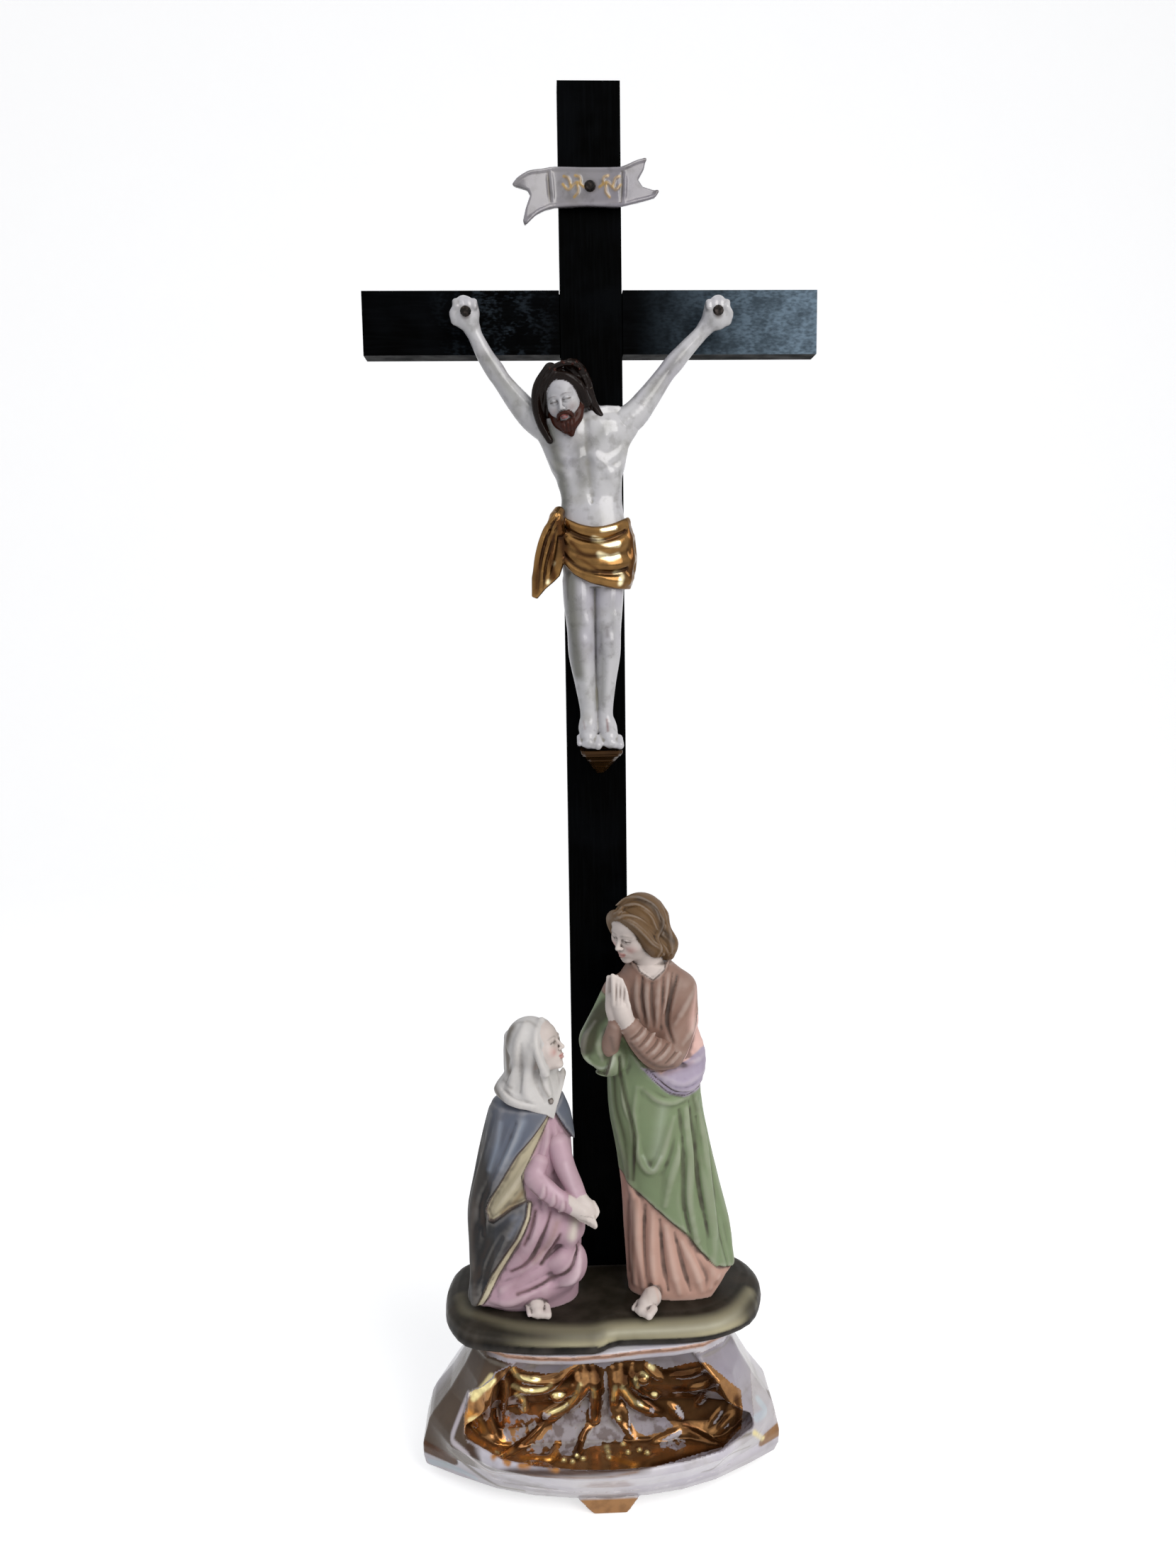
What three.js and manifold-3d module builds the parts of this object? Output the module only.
// A table font for holy water: a glazed porcelain base with a basin, a bisque ground with two mourning
// figures, and an ebonised wooden cross with a porcelain corpus. Millimetres, +Z up, front towards -Y.
// The origin is on the surface that it stands on, under the middle of the whole piece.
import * as THREE from 'three';
import { mergeVertices } from 'three/addons/utils/BufferGeometryUtils.js';
import Module from 'manifold-3d';

const wasm = await Module();
wasm.setup();

// Clearances
const seatGap = 0.3;
const slotGap = 0.5;

// Cross, planed from one lath
const barTopHeight = 396.8;
const headRise = 63.2;
const crossFaceY = 19;
const lathWidth = 20;
const lathThickness = 8;
const barHalfLength = 73.8;

// Base and basin
const baseHeight = 52;
const baseBackY = 40;
const baseHalfWidth = 62.4;
const widestHeight = 13;
const rimHeight = 24;
const rimFrontY = -40;
const rimHalfWidth = 59;
const neckHalfWidth = 47.5;
const plateHalfWidth = 49.5;
const plateFrontY = -21.5;
const plateThickness = 3.5;
const basinHalfWidth = 49;
const basinFloorHeight = 12;
const basinWall = 3;
const castWall = 4;
const footHeight = 5;
const socketFloorHeight = 12;
const socketWall = 3.5;

// Ground under the figures
const groundThickness = 8;
const groundHalfWidth = 55.5;
const groundFrontY = -21;
const groundBackY = 34;

// Figures: how far each stands to the side of the cross, and the heights of the shoulders
const kneelingX = -28;
const kneelingShoulderHeight = 78;
const kneelingHeadRadius = 9.6;
const standingX = 25;
const standingShoulderHeight = 113;
const standingHeadRadius = 10.6;

// Corpus, hung from the bar
const handDrop = 8.8;
const shoulderDrop = 39.8;
const corpusTrunk = 40;
const corpusLegs = 68;
const corpusDepth = 12;
const handReach = 40;
const nailShankRadius = 0.8;
const nailHeadRadius = 1.9;
const nailHeadThickness = 1.2;
const nailBite = 5;
const lapPinCover = 1.5;
const footRestHeight = 8.5;
const footRestHalfWidth = 7;
const footRestDepth = 12;

// Scroll, over the bar
const scrollRise = 30.7;
const scrollHalfLength = 23;
const scrollBand = 10.5;
const scrollThickness = 2.2;

const groundSeatZ = baseHeight + seatGap;
const groundTopZ = groundSeatZ + groundThickness;
const barBottomHeight = barTopHeight - lathWidth;
const crossBackY = crossFaceY + lathThickness;
const uprightFootZ = socketFloorHeight + seatGap;
const crossHeight = barTopHeight + headRise;
const scrollHeight = barTopHeight + scrollRise;
const handHeight = barTopHeight - handDrop;
const corpusShoulderHeight = barTopHeight - shoulderDrop;
const corpusHipHeight = corpusShoulderHeight - corpusTrunk;
const corpusFootHeight = corpusHipHeight - corpusLegs;

// Materials
function finish(color, roughness, metalness = 0) {
  return new THREE.MeshStandardMaterial({ color, roughness, metalness });
}
const glaze = finish(0xe9e6ea, 0.2);
const gilt = finish(0xb8862f, 0.25, 1);
const ebonised = finish(0x0d0d0f, 0.4);
const bisqueGround = finish(0x4d4a38, 0.8);
const blueCloak = finish(0x7f8a9e, 0.7);
const greenMantle = finish(0x7d9a6a, 0.7);
const hair = finish(0x5f422c, 0.7);
const veil = finish(0xd8d4c9, 0.7);
const skin = finish(0xdcc8bd, 0.6);
const darkHair = finish(0x3a1c14, 0.5);
const iron = finish(0x2b211c, 0.5, 0.6);
const darkGilt = finish(0x5c4423, 0.5, 0.4);

// A closed geometry becomes a solid that can be joined and cut
function solid(geometry) {
  const bare = geometry.clone();
  bare.deleteAttribute('normal');
  bare.deleteAttribute('uv');
  const merged = mergeVertices(bare, 1e-4);
  const vertProperties = Float32Array.from(merged.attributes.position.array);
  const triVerts = Uint32Array.from(merged.index.array);
  return new wasm.Manifold(new wasm.Mesh({ numProp: 3, vertProperties, triVerts }));
}

function join(...solids) {
  return solids.reduce((all, next) => all.add(next));
}

// A solid becomes a named mesh
function piece(name, shape, material) {
  const { vertProperties, triVerts, numProp } = shape.getMesh();
  const positions = new Float32Array((vertProperties.length / numProp) * 3);
  for (let i = 0; i < positions.length / 3; i += 1) {
    positions.set(vertProperties.subarray(i * numProp, i * numProp + 3), i * 3);
  }
  const geometry = new THREE.BufferGeometry();
  geometry.setAttribute('position', new THREE.BufferAttribute(positions, 3));
  geometry.setIndex([...triVerts]);
  geometry.computeVertexNormals();
  const mesh = new THREE.Mesh(geometry, material);
  mesh.name = name;
  return mesh;
}

// A skin over rings of equally many points, closed at both ends and facing out
function loft(rings) {
  const count = rings[0].length;
  const points = rings.flat();
  const faces = [];
  for (let r = 0; r < rings.length - 1; r += 1) {
    for (let i = 0; i < count; i += 1) {
      const j = (i + 1) % count;
      const a = r * count + i;
      const b = r * count + j;
      faces.push(a, b, b + count, a, b + count, a + count);
    }
  }
  const last = (rings.length - 1) * count;
  const lowest = points.length;
  points.push(middle(rings[0]), middle(rings[rings.length - 1]));
  for (let i = 0; i < count; i += 1) {
    const j = (i + 1) % count;
    faces.push(lowest, j, i);
    faces.push(lowest + 1, last + i, last + j);
  }
  const geometry = new THREE.BufferGeometry().setFromPoints(points);
  geometry.setIndex(signedVolume(points, faces) < 0 ? faces.reverse() : faces);
  return solid(geometry);
}

function signedVolume(points, faces) {
  let sixfold = 0;
  for (let i = 0; i < faces.length; i += 3) {
    const [a, b, c] = [points[faces[i]], points[faces[i + 1]], points[faces[i + 2]]];
    sixfold += a.dot(b.clone().cross(c));
  }
  return sixfold / 6;
}

function middle(ring) {
  const sum = ring.reduce((total, point) => total.clone().add(point), new THREE.Vector3());
  return sum.divideScalar(ring.length);
}

function box(lowX, highX, lowY, highY, lowZ, highZ) {
  const geometry = new THREE.BoxGeometry(highX - lowX, highY - lowY, highZ - lowZ);
  geometry.translate((lowX + highX) / 2, (lowY + highY) / 2, (lowZ + highZ) / 2);
  return solid(geometry);
}

// An oval ball
function ball(x, y, z, rx, ry = rx, rz = rx, sides = 12) {
  const geometry = new THREE.SphereGeometry(1, sides, Math.round(sides * 0.6));
  geometry.rotateX(Math.PI / 2);
  geometry.scale(rx, ry, rz);
  geometry.translate(x, y, z);
  return solid(geometry);
}

// A round bar between two points, thicker or thinner towards its end
function limb(from, to, fromRadius, toRadius, sides = 10) {
  const start = new THREE.Vector3(...from);
  const run = new THREE.Vector3(...to).sub(start);
  const geometry = new THREE.CylinderGeometry(toRadius, fromRadius, run.length(), sides);
  geometry.translate(0, run.length() / 2, 0);
  const turn = new THREE.Quaternion().setFromUnitVectors(new THREE.Vector3(0, 1, 0), run.clone().normalize());
  geometry.applyQuaternion(turn);
  geometry.translate(...from);
  return solid(geometry);
}

// A soft round bar along stops of [x, y, z, radius], with rounded ends
function chain(stops, grow = 0, sides = 10) {
  const points = stops.map(([x, y, z]) => new THREE.Vector3(x, y, z));
  const radii = stops.map(([, , , r]) => r + grow);
  const last = points.length - 1;
  const reference = steadyAxis(points[last].clone().sub(points[0]));
  const ring = (centre, along, radius) => {
    const side = along.clone().cross(reference).normalize();
    const up = side.clone().cross(along).normalize();
    return Array.from({ length: sides }, (_, i) => {
      const a = (i / sides) * Math.PI * 2;
      const out = side.clone().multiplyScalar(Math.cos(a)).addScaledVector(up, Math.sin(a));
      return centre.clone().addScaledVector(out, radius);
    });
  };
  const tangents = points.map((_, i) => {
    const [before, after] = [points[Math.max(i - 1, 0)], points[Math.min(i + 1, last)]];
    return after.clone().sub(before).normalize();
  });
  const start = roundEnd.map(([out, narrow]) => {
    const centre = points[0].clone().addScaledVector(tangents[0], -out * radii[0]);
    return ring(centre, tangents[0], narrow * radii[0]);
  });
  const end = roundEnd.map(([out, narrow]) => {
    const centre = points[last].clone().addScaledVector(tangents[last], out * radii[last]);
    return ring(centre, tangents[last], narrow * radii[last]);
  });
  const middleRings = points.map((point, i) => ring(point, tangents[i], radii[i]));
  return loft([...start, ...middleRings, ...end.reverse()]);
}

// How far out and how narrow the rings of a rounded end are, from the tip inwards
const roundEnd = [[0.95, 0.31], [0.7, 0.71]];

// The axis that a run leans on least
function steadyAxis(run) {
  const leans = [Math.abs(run.x), Math.abs(run.y), Math.abs(run.z)];
  const least = leans.indexOf(Math.min(...leans));
  return new THREE.Vector3(least === 0 ? 1 : 0, least === 1 ? 1 : 0, least === 2 ? 1 : 0);
}

// Half an outline, from the front middle to the back middle, mirrored into a ring. A corner is a share of the
// half width and a share of the way to the front (negative) or to the back
function mirroredRing(z, halfWidth, frontY, backY, corners) {
  const half = corners.map(([u, v]) => new THREE.Vector3(u * halfWidth, v < 0 ? -v * frontY : v * backY, z));
  const other = half.slice(1, -1).reverse().map((p) => new THREE.Vector3(-p.x, p.y, p.z));
  return [...half, ...other];
}

// A ring of drapery: an oval with so many folds around it
function drapedRing({ z, x, y, rx, ry, folds = 0, depth = 0, twist = 0 }, grow = 0, sides = 24) {
  return Array.from({ length: sides }, (_, i) => {
    const a = (i / sides) * Math.PI * 2;
    const swell = 1 + depth * Math.cos(folds * a + twist);
    return new THREE.Vector3(x + (rx + grow) * swell * Math.cos(a), y + (ry + grow) * swell * Math.sin(a), z);
  });
}

function draped(levels, grow = 0) {
  const rings = levels.map((level) => drapedRing(level, grow));
  return loft(rings);
}

// Base: a flaring faceted plinth with a neck, whose front is cut out as a basin
const sideCorners = [[1, 0.2], [0.9, 0.62], [0.75, 0.92], [0.48, 1], [0, 1]];
const wallFront = [[0, -1], [0.2, -0.98], [0.41, -0.91], [0.61, -0.77], [0.83, -0.52], [1, -0.3]];
const rimFront = [[0, -1], [0.2, -0.98], [0.41, -0.92], [0.61, -0.82], [0.86, -0.54], [1, -0.2]];
const neckFront = [[0, -1], [0.25, -1], [0.5, -0.96], [0.72, -0.86], [0.9, -0.6], [1, -0.2]];
const wallCorners = [...wallFront, ...sideCorners];
const rimCorners = [...rimFront, ...sideCorners];
const neckCorners = [...neckFront, ...sideCorners];

function baseShell() {
  const shoulderHeight = (rimHeight + baseHeight) / 2 + 2;
  const plateZ = baseHeight - plateThickness;
  return loft([
    mirroredRing(footHeight, baseHalfWidth - 1, rimFrontY + 13, baseBackY - 1, wallCorners),
    mirroredRing(widestHeight, baseHalfWidth, rimFrontY + 7, baseBackY, wallCorners),
    mirroredRing(rimHeight - 2, rimHalfWidth + 1, rimFrontY, baseBackY, rimCorners),
    mirroredRing(rimHeight, rimHalfWidth, rimFrontY, baseBackY, rimCorners),
    mirroredRing(shoulderHeight, neckHalfWidth + 5, plateFrontY - 5, baseBackY - 2, neckCorners),
    mirroredRing(plateZ - 3, neckHalfWidth, plateFrontY + 2.5, baseBackY - 3, neckCorners),
    mirroredRing(plateZ, plateHalfWidth, plateFrontY, baseBackY - 2, neckCorners),
    mirroredRing(baseHeight, plateHalfWidth, plateFrontY, baseBackY - 2, neckCorners),
  ]);
}

const bowlCorners = [[0, -1], [0.24, -0.98], [0.49, -0.92], [0.72, -0.82], [0.97, -0.55]];

function bowl() {
  const innerFrontY = rimFrontY + basinWall;
  const reach = rimFrontY - 25;
  const high = baseHeight - plateThickness - 1;
  const low = [...bowlCorners, [1, -0.34], [0.86, -0.2], [0.58, -0.14], [0.29, -0.13], [0, -0.13]];
  const open = [...bowlCorners, [0.96, -0.4], [0.8, -0.2], [0.56, -0.13], [0.28, -0.12], [0, -0.12]];
  const floorHalf = basinHalfWidth - 12;
  return loft([
    mirroredRing(basinFloorHeight, floorHalf, innerFrontY + 8, 0, withBack(low, 0.34)),
    mirroredRing(basinFloorHeight + 3, floorHalf + 5, innerFrontY + 4.5, 0, withBack(low, 0.24)),
    mirroredRing(rimHeight, basinHalfWidth, innerFrontY, 0, low),
    mirroredRing(rimHeight + 16, basinHalfWidth - 2, reach, 0, open),
    mirroredRing(high, basinHalfWidth - 12, reach, 0, withBack(open, 0.17)),
  ]);
}

// The same corners with the back wall of the bowl brought forward to one share of its reach
function withBack(corners, share) {
  return corners.map(([u, v]) => [u, Math.min(v, -share)]);
}

function underside() {
  const roof = baseHeight - plateThickness - 2.5;
  const bowlBackY = -1;
  const rear = [[0, -1], [0.5, -1], [0.9, -0.9], [1, 0.1], [0.95, 0.6], [0.75, 0.93], [0.4, 1], [0, 1]];
  const back = baseBackY - castWall;
  const deep = loft([
    mirroredRing(-1, baseHalfWidth - castWall - 3, bowlBackY, back - 1, rear),
    mirroredRing(widestHeight, baseHalfWidth - castWall - 4, bowlBackY, back, rear),
    mirroredRing(roof - 8, neckHalfWidth - castWall + 2, bowlBackY, back - 2, rear),
    mirroredRing(roof, neckHalfWidth - castWall - 3, bowlBackY + 2, back - 5, rear),
  ]);
  const shallow = loft([
    mirroredRing(-1, baseHalfWidth - castWall - 4, rimFrontY + 19, 8, wallCorners),
    mirroredRing(basinFloorHeight - castWall, baseHalfWidth - castWall - 5, rimFrontY + 18, 8, wallCorners),
  ]);
  return deep.add(shallow);
}

function socketBlock(margin, lowZ, highZ) {
  const halfWidth = lathWidth / 2 + margin;
  return box(-halfWidth, halfWidth, crossFaceY - margin, crossBackY + margin, lowZ, highZ);
}

function foot(lowX, highX, lowY, highY, flare, topZ) {
  const ring = (z, out) => [
    new THREE.Vector3(lowX - out, lowY - out, z),
    new THREE.Vector3(highX + out, lowY - out, z),
    new THREE.Vector3(highX + out, highY + out, z),
    new THREE.Vector3(lowX - out, highY + out, z),
  ];
  return loft([ring(0, 0), ring(topZ, flare)]);
}

function feet() {
  const top = footHeight + 1.5;
  const front = foot(-8, 8, rimFrontY + 7.5, rimFrontY + 18, 2, top);
  const sideX = baseHalfWidth - 2.5;
  const sides = [-1, 1].map((s) => {
    const xs = [s * sideX, s * (sideX - 9)].sort((a, b) => a - b);
    return foot(xs[0], xs[1], -8, 6, 1, top);
  });
  const rear = [-1, 1].map((s) => {
    const xs = [s * 24, s * 40].sort((a, b) => a - b);
    return foot(xs[0], xs[1], baseBackY - 7.5, baseBackY - 1.5, 0.5, top);
  });
  return join(front, ...sides, ...rear);
}

function fontBase() {
  const shell = baseShell().subtract(underside()).subtract(bowl());
  const boss = socketBlock(slotGap + socketWall, socketFloorHeight - castWall, baseHeight - plateThickness);
  const hole = socketBlock(slotGap, socketFloorHeight, baseHeight + 1);
  return join(shell, feet().subtract(underside()), boss).subtract(hole);
}

// Ground: a kidney-shaped slab with a rounded edge and a slot for the upright
function groundRing(z, inset) {
  const leftFront = groundFrontY + inset;
  const rightFront = groundFrontY + 3 + inset;
  const back = groundBackY - inset;
  const half = groundHalfWidth - inset;
  const outline = [
    [-4, leftFront], [3, rightFront], [0.4 * half, rightFront], [0.65 * half, rightFront + 2],
    [0.87 * half, rightFront + 10], [0.98 * half, rightFront + 22], [half, 12], [0.94 * half, 21],
    [0.78 * half, back - 5], [0.5 * half, back - 1], [0, back], [-0.5 * half, back - 1],
    [-0.78 * half, back - 5], [-0.95 * half, 22], [-half, 12], [-half, 3],
    [-0.97 * half, leftFront + 16], [-0.86 * half, leftFront + 6], [-0.66 * half, leftFront + 3],
    [-0.4 * half, leftFront + 1],
  ];
  return outline.map(([x, y]) => new THREE.Vector3(x, y, z));
}

function ground() {
  const slab = loft([
    groundRing(groundSeatZ, 1),
    groundRing(groundSeatZ + 1.2, 0),
    groundRing(groundSeatZ + groundThickness - 3, 0.4),
    groundRing(groundTopZ - 1, 2.5),
    groundRing(groundTopZ, 5.5),
  ]);
  return slab.subtract(socketBlock(slotGap, groundSeatZ - 1, groundTopZ + 1));
}

// Kneeling figure, in its own frame with the ground at z = 0
function kneelingBody(grow = 0) {
  const top = kneelingShoulderHeight;
  const cloak = draped([
    { z: 0, x: 1.5, y: 3, rx: 19.5, ry: 11, folds: 8, depth: 0.04 },
    { z: 7, x: 1.5, y: 3, rx: 21, ry: 12, folds: 8, depth: 0.04 },
    { z: 0.3 * top, x: 1, y: 2, rx: 20.5, ry: 12.5, folds: 8, depth: 0.035 },
    { z: 0.45 * top, x: 1, y: 1, rx: 19, ry: 12, folds: 7, depth: 0.03 },
    { z: 0.62 * top, x: 1, y: 1, rx: 17.5, ry: 11, folds: 7, depth: 0.025 },
    { z: 0.82 * top, x: 2, y: 1, rx: 15.5, ry: 9.5, folds: 5, depth: 0.02 },
    { z: 0.95 * top, x: 3, y: 0, rx: 13, ry: 8.5, folds: 5, depth: 0.02 },
    { z: top, x: 3.5, y: -1, rx: 9, ry: 7 },
  ], grow);
  const thigh = chain([[4, -4, 32, 8], [16, -7, 29, 7.5]], grow);
  const shin = chain([[16, -7, 29, 7.5], [11, -6, 9, 6]], grow);
  const toes = ball(7, -10, 2.6, 4.6 + grow, 5 + grow, 2.6);
  return join(cloak, thigh, shin, toes);
}

function kneelingArms(grow = 0) {
  const near = chain([[-3, -10, 44, 4.4], [14, -13, 41, 3.1]], grow);
  const far = chain([[8, -7, 55, 4.2], [15, -11, 43, 3]], grow);
  const hands = join(ball(18, -13, 40, 4.2 + grow, 3.6 + grow, 3.4 + grow), ball(21, -12, 37, 3 + grow));
  return join(near, far, hands);
}

function kneelingHead() {
  const r = kneelingHeadRadius;
  const z = kneelingShoulderHeight + r * 1.32;
  const skull = ball(3.5, -3, z, r * 0.98, r, r * 1.12, 14);
  const face = ball(3.5 + r * 0.45, -3 - r * 0.4, z - r * 0.1, r * 0.72, r * 0.7, r * 0.85);
  const drape = draped([
    { z: kneelingShoulderHeight - 6, x: 3, y: -1.5, rx: r * 1.35, ry: r * 1.05, folds: 6, depth: 0.03 },
    { z: kneelingShoulderHeight + 3, x: 3, y: -2, rx: r * 1.12, ry: r * 0.98, folds: 6, depth: 0.03 },
    { z: z - 2, x: 3, y: -2, rx: r * 0.95, ry: r * 0.95 },
  ]);
  return join(skull, face, drape);
}

// Standing figure, in its own frame with the ground at z = 0
function standingBody(grow = 0) {
  const top = standingShoulderHeight;
  const robe = draped([
    { z: 0, x: 1.5, y: 4, rx: 18.5, ry: 10, folds: 8, depth: 0.05 },
    { z: 8, x: 1.5, y: 4, rx: 18.5, ry: 10, folds: 8, depth: 0.05 },
    { z: 0.18 * top, x: 0.5, y: 4, rx: 17, ry: 10, folds: 8, depth: 0.04 },
    { z: 0.32 * top, x: -2, y: 3, rx: 15.5, ry: 10.5, folds: 7, depth: 0.035 },
    { z: 0.5 * top, x: -4.5, y: 2, rx: 16, ry: 11, folds: 7, depth: 0.025 },
    { z: 0.64 * top, x: -7, y: 1, rx: 15.5, ry: 11 },
    { z: 0.76 * top, x: -7, y: 0.5, rx: 15.5, ry: 10.5 },
    { z: 0.9 * top, x: -6.5, y: 1, rx: 14, ry: 9.5 },
    { z: 0.97 * top, x: -6.5, y: 1, rx: 12, ry: 8 },
    { z: 1.03 * top, x: -7.5, y: 0, rx: 6.5, ry: 5.5 },
    { z: 1.08 * top, x: -9, y: -1, rx: 4.4, ry: 4.4 },
  ], grow);
  const sleeve = chain([[-19, -1, 98, 6.5], [-27, -5, 87, 7]], grow);
  const nearArm = chain([[5, -3, 102, 7], [6, -7, 84, 6.2]], grow);
  const bareFoot = chain([[-8, -1, 5, 4.6], [-13, -9, 3.4, 3.4], [-15, -13.5, 2.5, 2.5]], grow);
  return join(robe, sleeve, nearArm, bareFoot);
}

function standingArms(grow = 0) {
  const near = chain([[4, -10, 84, 5], [-13, -15, 95, 4]], grow);
  const far = chain([[-24, -11, 90, 4.5], [-19, -15, 98, 3.6]], grow);
  const palms = join(
    ball(-18.5, -17, 107, 3.6 + grow, 3.6 + grow, 7 + grow),
    ball(-20.5, -17, 112, 2.6 + grow, 2.8 + grow, 6 + grow),
  );
  return join(near, far, palms);
}

function standingHead() {
  const r = standingHeadRadius;
  const z = standingShoulderHeight + r * 1.7;
  const skull = ball(-11.5, -1.5, z, r * 1.05, r, r * 1.15, 14);
  const face = ball(-11.5 - r * 0.42, -1.5 - r * 0.35, z - r * 0.35, r * 0.68, r * 0.72, r * 0.9);
  const locks = chain([[-7, 3, z - 1, r * 0.75], [-2.5, 2, z - r, r * 0.42]], 0);
  return join(skull, face, locks);
}

// Corpus
function corpusBody(grow = 0) {
  const backY = crossFaceY - seatGap - 0.5;
  const chestY = backY - corpusDepth / 2;
  const hip = corpusHipHeight;
  const shoulder = corpusShoulderHeight;
  const torso = draped([
    { z: hip - 12, x: 0, y: chestY, rx: 11, ry: 5.4 },
    { z: hip, x: 0.3, y: chestY, rx: 11, ry: 5.8 },
    { z: hip + 13, x: -0.8, y: chestY, rx: 9.8, ry: 5.2 },
    { z: shoulder - 16, x: -1.8, y: chestY, rx: 12, ry: 5.8 },
    { z: shoulder - 6, x: -2.5, y: chestY, rx: 14, ry: 5.9 },
    { z: shoulder + 1, x: -2.8, y: chestY, rx: 13, ry: 5 },
    { z: shoulder + 4, x: -3, y: chestY, rx: 5, ry: 4 },
  ], grow);
  const kneeZ = (hip + corpusFootHeight) / 2 + 6;
  const legY = backY - 5.2;
  const legs = [-1, 1].map((s) => chain([
    [s * 5, legY, hip - 12, 5.1],
    [s * 4.2 - 0.6, legY - 2, kneeZ, 4.5],
    [s * 3.6, legY - 0.5, kneeZ - 12, 4.2],
    [s * 3.2 + 0.2, legY - 1, corpusFootHeight + 11, 2.9],
  ], grow));
  const feetOnRest = [-1, 1].map((s) => chain([
    [s * 3.2 + 0.4, legY - 1, corpusFootHeight + 8, 2.9],
    [s * 3.4 + 0.6, legY - 5.5, corpusFootHeight + 2.9, 2.5],
  ], grow));
  return join(torso, ...legs, ...feetOnRest);
}

function corpusHead() {
  const y = crossFaceY - seatGap - corpusDepth / 2 - 5;
  const z = corpusShoulderHeight + 3;
  const skull = ball(-8, y, z + 2.5, 6.4, 7, 8.3);
  const locks = chain([[-13, y + 1, z, 2.8], [-15, y + 2, z - 9, 2.2]], 0);
  const otherLocks = chain([[-2.5, y + 1.5, z + 3, 3.4], [0.5, y + 2, z - 5, 2.4]], 0);
  return join(skull, locks, otherLocks);
}

function corpusArm(side, grow = 0) {
  const y = crossFaceY - seatGap - 5.5;
  const shoulderX = side < 0 ? -15.5 : 10.5;
  const z = corpusShoulderHeight;
  return join(
    chain([
      [shoulderX, y, z - 1, 4.6],
      [(shoulderX + side * handReach) / 2, y, z + 12, 3.9],
      [side * (handReach - 4.5), y, handHeight - 7, 2.7],
      [side * handReach, y, handHeight - 1, 3.3],
    ], grow),
    ball(side * handReach, y, handHeight, 4.1 + grow, 3.6 + grow, 4.6 + grow),
  );
}

function loincloth(grow = 0) {
  const y = crossFaceY - seatGap - 0.5 - corpusDepth / 2;
  const z = corpusHipHeight;
  const wrap = draped([
    { z: z - 15, x: 5, y, rx: 6.5, ry: 5.8 },
    { z: z - 10, x: 2.5, y: y - 0.1, rx: 9.8, ry: 6.1, folds: 6, depth: 0.02 },
    { z: z - 2, x: 0.6, y: y - 0.3, rx: 12.2, ry: 6.5, folds: 6, depth: 0.02 },
    { z: z + 8, x: 0.2, y: y - 0.2, rx: 12, ry: 6.3, folds: 6, depth: 0.02 },
  ], grow);
  const stops = [[-12, y - 1.5, z + 5, 3.4], [-16.5, y - 0.5, z - 6, 3.3], [-19, y, z - 16, 2.2]];
  const hanging = chain(stops, grow);
  return join(wrap, hanging).intersect(box(-40, 40, -40, crossFaceY - seatGap, z - 60, z + 60));
}

function footRest() {
  const top = corpusFootHeight - seatGap;
  const depth = crossFaceY - seatGap;
  const ring = (z, half, front) => [
    new THREE.Vector3(-half + 1, front, z),
    new THREE.Vector3(half + 1, front, z),
    new THREE.Vector3(half + 1, depth, z),
    new THREE.Vector3(-half + 1, depth, z),
  ];
  return loft([
    ring(top - footRestHeight, footRestHalfWidth * 0.3, depth - 3),
    ring(top - footRestHeight * 0.5, footRestHalfWidth * 0.75, depth - footRestDepth * 0.62),
    ring(top, footRestHalfWidth, depth - footRestDepth),
  ]);
}

// A nail that lies along Y, with its head towards the front
function nail(x, headY, z, length, grow = 0) {
  const shankR = nailShankRadius + grow;
  const headR = nailHeadRadius + grow;
  const shank = limb([x, headY, z], [x, headY + length, z], shankR, shankR, 12);
  const head = limb([x, headY - grow, z], [x, headY + nailHeadThickness + grow, z], headR * 0.7, headR, 12);
  return join(shank, head);
}

const handFrontY = crossFaceY - seatGap - 5.5 - 3.6;
const handNailHeadY = handFrontY - nailHeadThickness + 0.2;
const handNailLength = crossFaceY + nailBite - handNailHeadY;

function handNail(side, grow = 0) {
  return nail(side * handReach, handNailHeadY, handHeight, handNailLength, grow);
}

const scrollNailHeadY = crossFaceY - seatGap - scrollThickness - nailHeadThickness - seatGap;
const scrollNailLength = crossFaceY + nailBite - scrollNailHeadY;

function scrollNail(grow = 0) {
  return nail(0, scrollNailHeadY, scrollHeight, scrollNailLength, grow);
}

// A pin from behind holds the half lap together
function lapPin(grow = 0) {
  const z = (barTopHeight + barBottomHeight) / 2;
  const radius = nailShankRadius + grow;
  return limb([0, crossBackY + seatGap + grow, z], [0, crossFaceY + lapPinCover, z], radius, radius, 12);
}

// Upright and bar meet in a half lap, with the upright in front
const lapY = crossFaceY + lathThickness / 2;

function upright() {
  const half = lathWidth / 2;
  const lath = box(-half, half, crossFaceY, crossBackY, uprightFootZ, crossHeight);
  const [lowZ, highZ] = [barBottomHeight - seatGap, barTopHeight + seatGap];
  const notch = box(-half - 1, half + 1, lapY, crossBackY + 1, lowZ, highZ);
  return lath.subtract(notch).subtract(scrollNail(seatGap)).subtract(lapPin(seatGap));
}

function crossbar() {
  const half = lathWidth / 2 + seatGap;
  const lath = box(-barHalfLength, barHalfLength, crossFaceY, crossBackY, barBottomHeight, barTopHeight);
  const notch = box(-half, half, crossFaceY - 1, lapY + seatGap, barBottomHeight - 1, barTopHeight + 1);
  const bores = join(handNail(-1, seatGap), handNail(1, seatGap), lapPin(seatGap));
  return lath.subtract(notch).subtract(bores);
}

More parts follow.
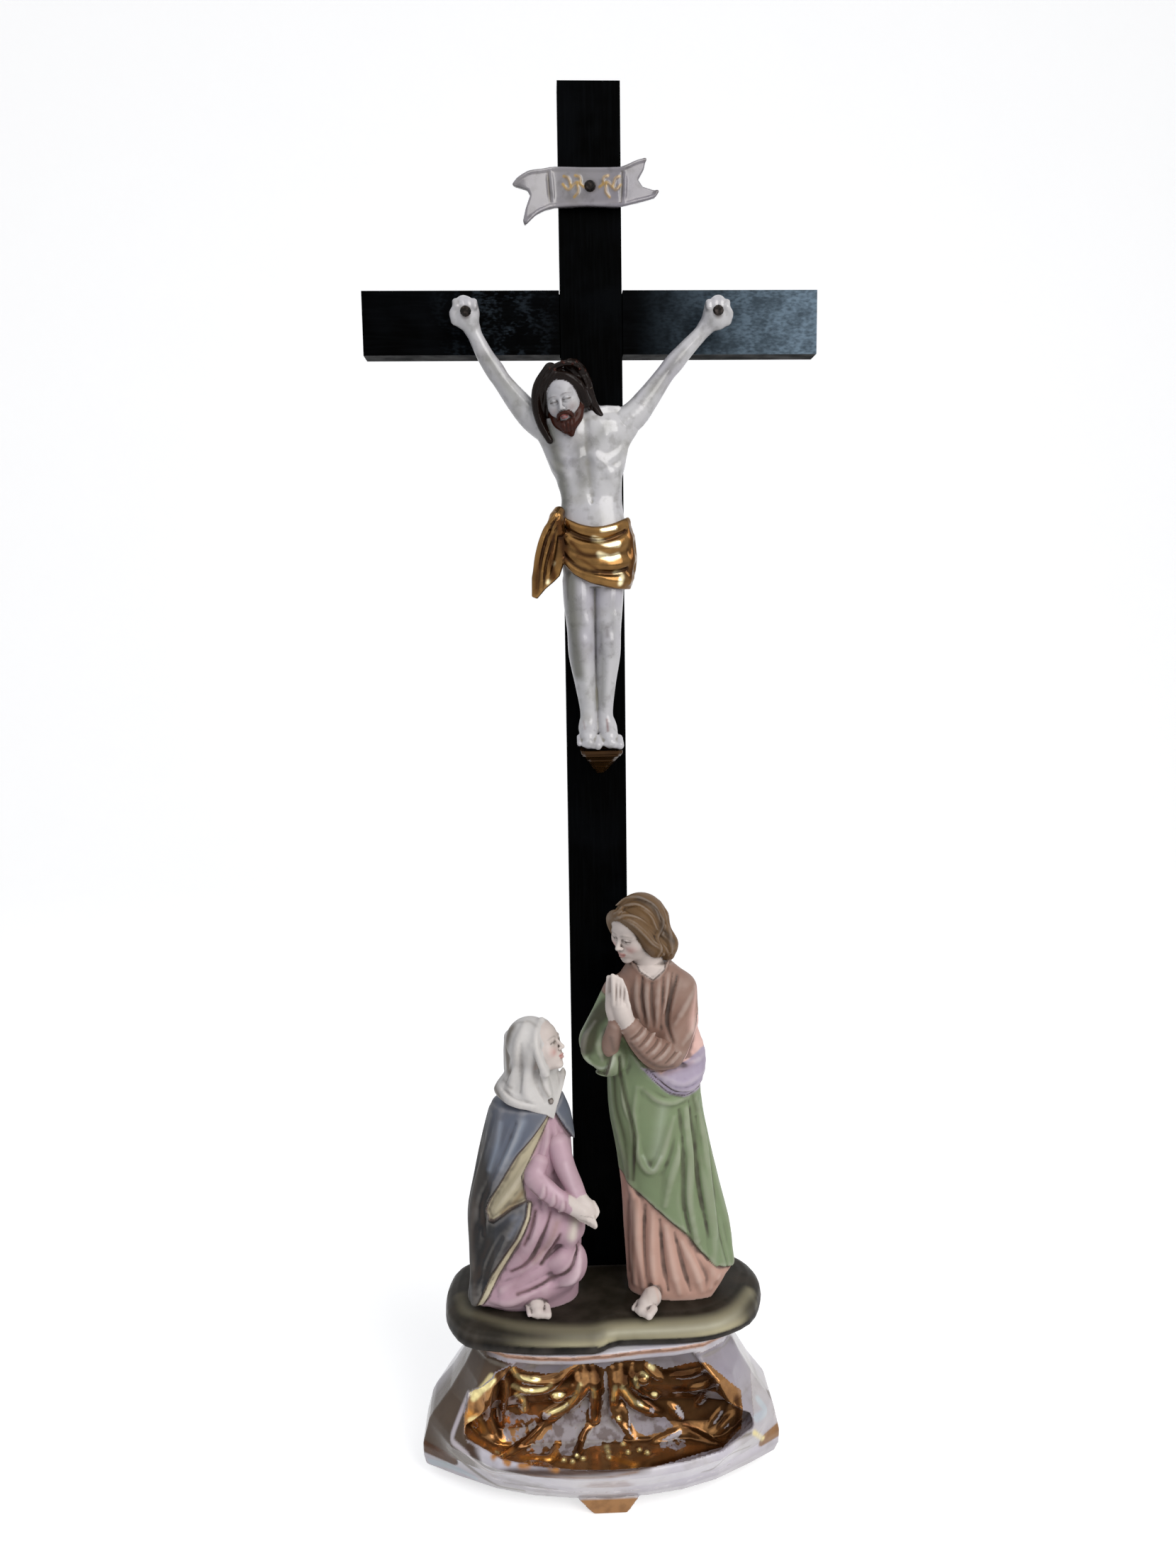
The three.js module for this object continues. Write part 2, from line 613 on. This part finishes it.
// Scroll: a swallow-tailed ribbon whose ends roll forwards, bored for its nail
function scroll() {
  const sections = 16;
  const rings = [];
  for (let i = 0; i <= sections; i += 1) {
    const t = (i / sections) * 2 - 1;
    const x = t * scrollHalfLength;
    const bend = 2.4 * Math.sin(t * Math.PI * 0.9);
    const rise = Math.abs(t) > 0.5 ? (Math.abs(t) - 0.5) * 5 * Math.sign(t) : 0;
    const half = (scrollBand / 2) * (Math.abs(t) > 0.6 ? 1 + (Math.abs(t) - 0.6) * 0.9 : 1);
    const backY = crossFaceY - seatGap - Math.max(0, bend);
    const frontY = backY - scrollThickness;
    const z = scrollHeight + rise;
    rings.push([
      new THREE.Vector3(x, frontY, z - half),
      new THREE.Vector3(x, frontY, z + half),
      new THREE.Vector3(x, backY, z + half),
      new THREE.Vector3(x, backY, z - half),
    ]);
  }
  const tails = [-1, 1].map((s) => {
    const tip = [s * (scrollHalfLength - 6.5), 0, scrollHeight + s * 1.8];
    const out = scrollHalfLength + 4;
    const ring = (y) => [
      new THREE.Vector3(tip[0], y, tip[2]),
      new THREE.Vector3(s * out, y, tip[2] - s * 3.2),
      new THREE.Vector3(s * out, y, tip[2] + s * 3.2),
    ];
    return loft([ring(crossFaceY + 5), ring(crossFaceY - 15)]);
  });
  return loft(rings).subtract(tails[0]).subtract(tails[1]).subtract(scrollNail(seatGap));
}

// Assembly
const font = new THREE.Group();
font.add(piece('font_base', fontBase(), glaze));
font.add(piece('terrace', ground(), bisqueGround));

const kneeling = new THREE.Group();
kneeling.position.set(kneelingX, 0, groundTopZ + seatGap);
kneeling.add(piece('kneeling_figure_body', kneelingBody(), blueCloak));
kneeling.add(piece('kneeling_figure_hands', kneelingArms().subtract(kneelingBody(seatGap)), skin));
kneeling.add(piece('kneeling_figure_head', kneelingHead().subtract(kneelingBody(seatGap)), veil));
font.add(kneeling);

const standing = new THREE.Group();
standing.position.set(standingX, 0, groundTopZ + seatGap);
standing.add(piece('standing_figure_body', standingBody(), greenMantle));
standing.add(piece('standing_figure_hands', standingArms().subtract(standingBody(seatGap)), skin));
standing.add(piece('standing_figure_head', standingHead().subtract(standingBody(seatGap)), hair));
font.add(standing);

const corpus = new THREE.Group();
const torso = corpusBody();
const wrappedTorso = corpusBody(seatGap);
const arms = { left: corpusArm(-1).subtract(wrappedTorso), right: corpusArm(1).subtract(wrappedTorso) };
corpus.add(piece('corpus_body', torso, glaze));
corpus.add(piece('loincloth', loincloth().subtract(wrappedTorso), gilt));
corpus.add(piece('corpus_left_arm', arms.left.subtract(handNail(-1, seatGap)), glaze));
corpus.add(piece('corpus_right_arm', arms.right.subtract(handNail(1, seatGap)), glaze));
const bareHead = corpusHead().subtract(wrappedTorso);
const clearHead = bareHead.subtract(corpusArm(-1, seatGap)).subtract(corpusArm(1, seatGap));
corpus.add(piece('corpus_head', clearHead, darkHair));
corpus.add(piece('foot_rest', footRest(), darkGilt));
corpus.add(piece('left_hand_nail', handNail(-1), iron));
corpus.add(piece('right_hand_nail', handNail(1), iron));

const cross = new THREE.Group();
cross.add(piece('cross_upright', upright(), ebonised));
cross.add(piece('crossbar', crossbar(), ebonised));
cross.add(piece('lap_pin', lapPin(), iron));
cross.add(piece('titulus_scroll', scroll(), glaze));
cross.add(piece('titulus_nail', scrollNail(), iron));
cross.add(corpus);
font.add(cross);

export default font;
